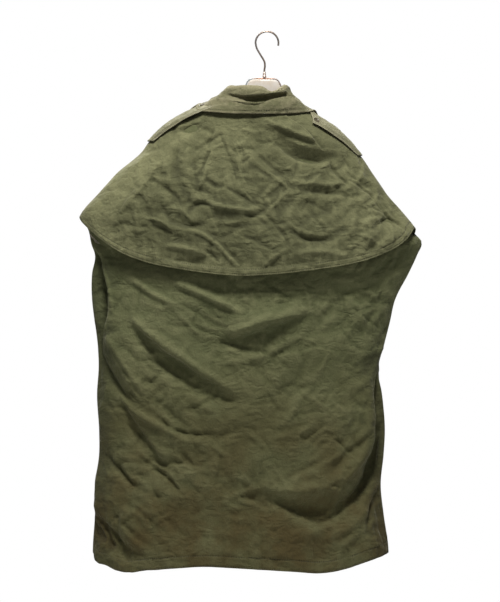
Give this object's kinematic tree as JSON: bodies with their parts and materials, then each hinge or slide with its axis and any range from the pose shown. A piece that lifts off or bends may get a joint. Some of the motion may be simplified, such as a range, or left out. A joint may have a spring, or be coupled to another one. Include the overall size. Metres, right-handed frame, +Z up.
{
  "type": "caped coat on a hanger",
  "caption": "Olive cotton military-style coat with a wide shoulder cape, turned-down collar and shoulder straps, hanging on a wire-hook hanger.",
  "frame": {"origin": "inner top of the hanger's hook, where it bears on a rail", "axes": "+Z up, -Y out of the back of the coat, +X to the right of the coat's back as seen"},
  "size_m": [0.8123, 0.2172, 1.302],
  "materials": {
    "cape_cloth": "matte olive cotton, worn pale",
    "coat_cloth": "matte olive cotton",
    "button": "dull olive brown",
    "plate": "satin white",
    "wire": "copper washed"
  },
  "bodies": {
    "root": {"back": "coat_cloth", "front_left": "coat_cloth", "front_right": "coat_cloth", "cape": "cape_cloth", "collar": "cape_cloth", "epaulette_left": "cape_cloth", "epaulette_right": "cape_cloth", "epaulette_button_left": "button", "epaulette_button_right": "button", "front_button_1": "button", "front_button_2": "button", "front_button_3": "button", "front_button_4": "button", "front_button_5": "button", "hanger_body": "plate", "hanger_rim": "wire", "hanger_ferrule": "wire", "hanger_hook": "wire"}
  },
  "joints": []
}
